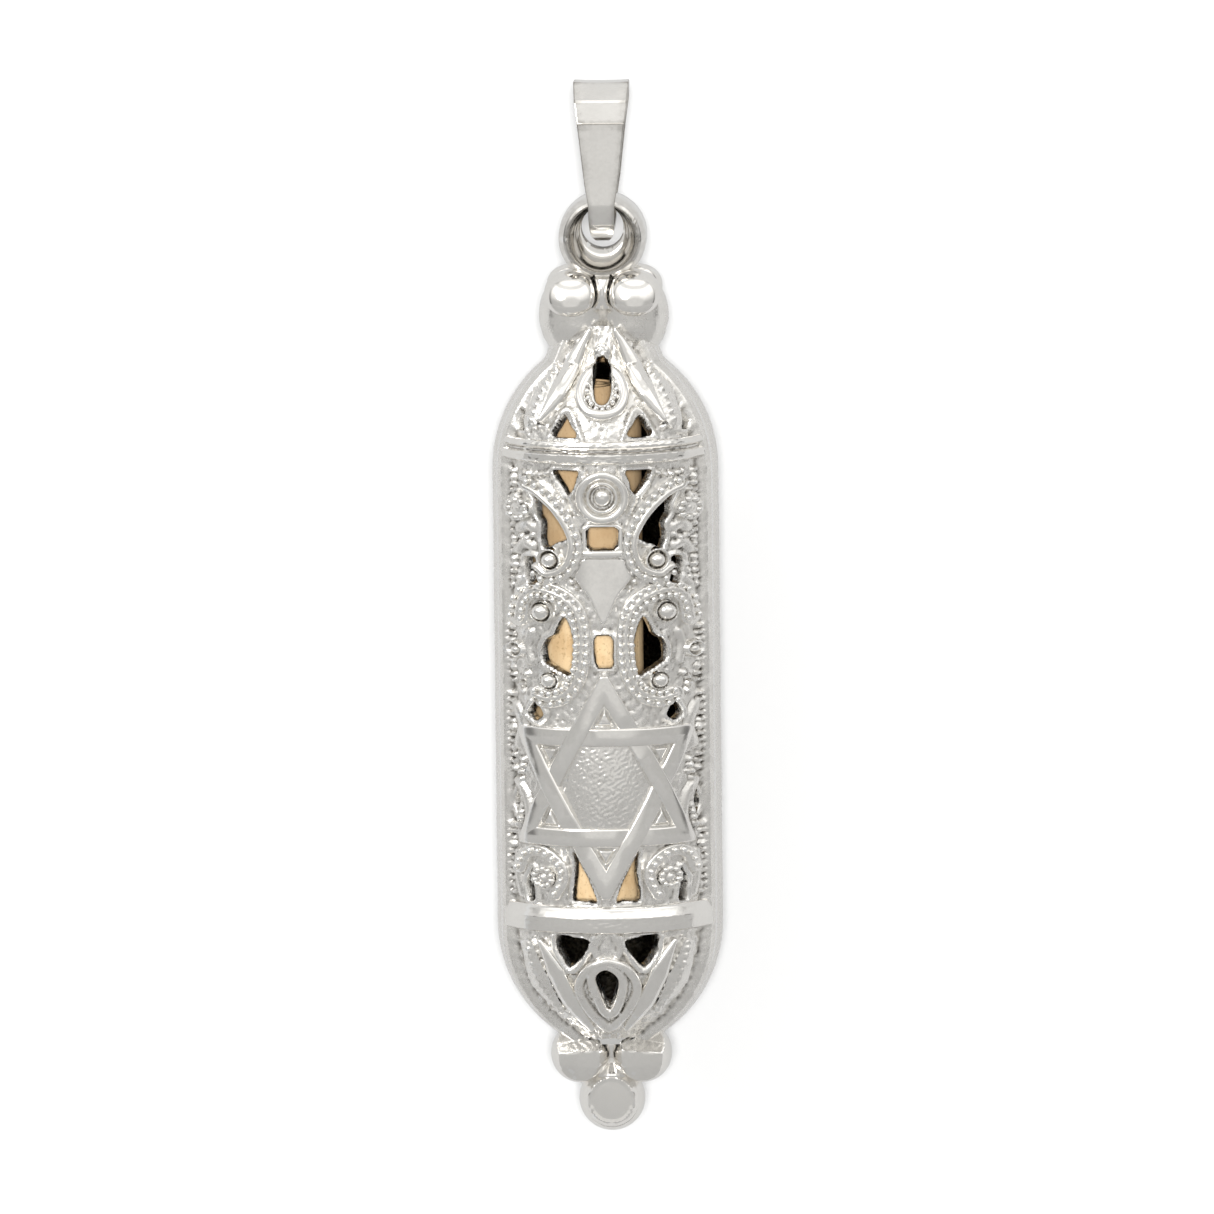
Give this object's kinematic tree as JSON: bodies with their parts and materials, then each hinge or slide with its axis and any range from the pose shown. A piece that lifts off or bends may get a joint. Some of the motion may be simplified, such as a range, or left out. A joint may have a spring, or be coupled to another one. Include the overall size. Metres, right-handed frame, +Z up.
{
  "type": "mezuzah case",
  "caption": "Hanging filigree mezuzah case: a domed openwork cylinder with a six-pointed star, ball ends, a swinging strip bail and a rolled parchment inside.",
  "frame": {"origin": "centre of the round crown inside the bail, where the chain sits", "axes": "+Z up along the case, -Y out of the openwork front, +X to the right of a viewer facing the front"},
  "size_m": [0.012, 0.0122, 0.0563],
  "materials": {
    "polished_silver": "polished",
    "satin_silver": "satin",
    "ornament_silver": "satin",
    "cast_silver": "matte",
    "parchment": "matte"
  },
  "bodies": {
    "bail": {"bail_strip": "polished_silver"},
    "case": {"back_shell": "satin_silver", "crown_bead_back_left": "polished_silver", "crown_bead_back_right": "polished_silver", "crown_bead_front_left": "polished_silver", "crown_bead_front_right": "polished_silver", "crown_drop_bezel": "polished_silver", "crown_leaf_left": "polished_silver", "crown_leaf_right": "polished_silver", "crown_lobe_left": "polished_silver", "crown_lobe_right": "polished_silver", "crown_post": "polished_silver", "crown_side_drop_left": "ornament_silver", "crown_side_drop_right": "ornament_silver", "foot_ball": "polished_silver", "foot_drop_bezel": "polished_silver", "foot_leaf_left": "polished_silver", "foot_leaf_right": "polished_silver", "foot_lobe_left": "polished_silver", "foot_lobe_right": "polished_silver", "foot_post": "polished_silver", "foot_side_drop_left": "ornament_silver", "foot_side_drop_right": "ornament_silver", "front_shell": "cast_silver", "hanging_ring": "polished_silver", "lower_band": "polished_silver", "lower_boss_left": "ornament_silver", "lower_boss_right": "ornament_silver", "lower_scroll_beads_left": "ornament_silver", "lower_scroll_beads_right": "ornament_silver", "lower_scroll_left": "ornament_silver", "lower_scroll_right": "ornament_silver", "middle_boss_high_left": "ornament_silver", "middle_boss_high_right": "ornament_silver", "middle_boss_low_left": "ornament_silver", "middle_boss_low_right": "ornament_silver", "middle_scroll_beads_left": "ornament_silver", "middle_scroll_beads_right": "ornament_silver", "middle_scroll_left": "ornament_silver", "middle_scroll_right": "ornament_silver", "outer_boss_left": "ornament_silver", "outer_boss_right": "ornament_silver", "shield_plate": "polished_silver", "side_rosette_left": "ornament_silver", "side_rosette_right": "ornament_silver", "star_plaque": "cast_silver", "star_triangle_down": "polished_silver", "star_triangle_up": "polished_silver", "top_rosette_button": "ornament_silver", "top_rosette_ring": "polished_silver", "upper_band": "polished_silver", "upper_boss_left": "ornament_silver", "upper_boss_right": "ornament_silver", "upper_scroll_beads_left": "ornament_silver", "upper_scroll_beads_right": "ornament_silver", "upper_scroll_left": "ornament_silver", "upper_scroll_right": "ornament_silver", "window_frame": "polished_silver"},
    "scroll": {"parchment_scroll": "parchment"}
  },
  "joints": [
    {"name": "case_swing", "type": "hinge", "parent": "bail", "child": "case", "pos_m": [0, 0, -0.0043], "axis": [1, 0, 0], "range_deg": [-90, 90]},
    {"name": "scroll_slide", "type": "slide", "parent": "case", "child": "scroll", "axis": [0, 0, 1], "range_m": [-0.0035, 0.0001]}
  ]
}
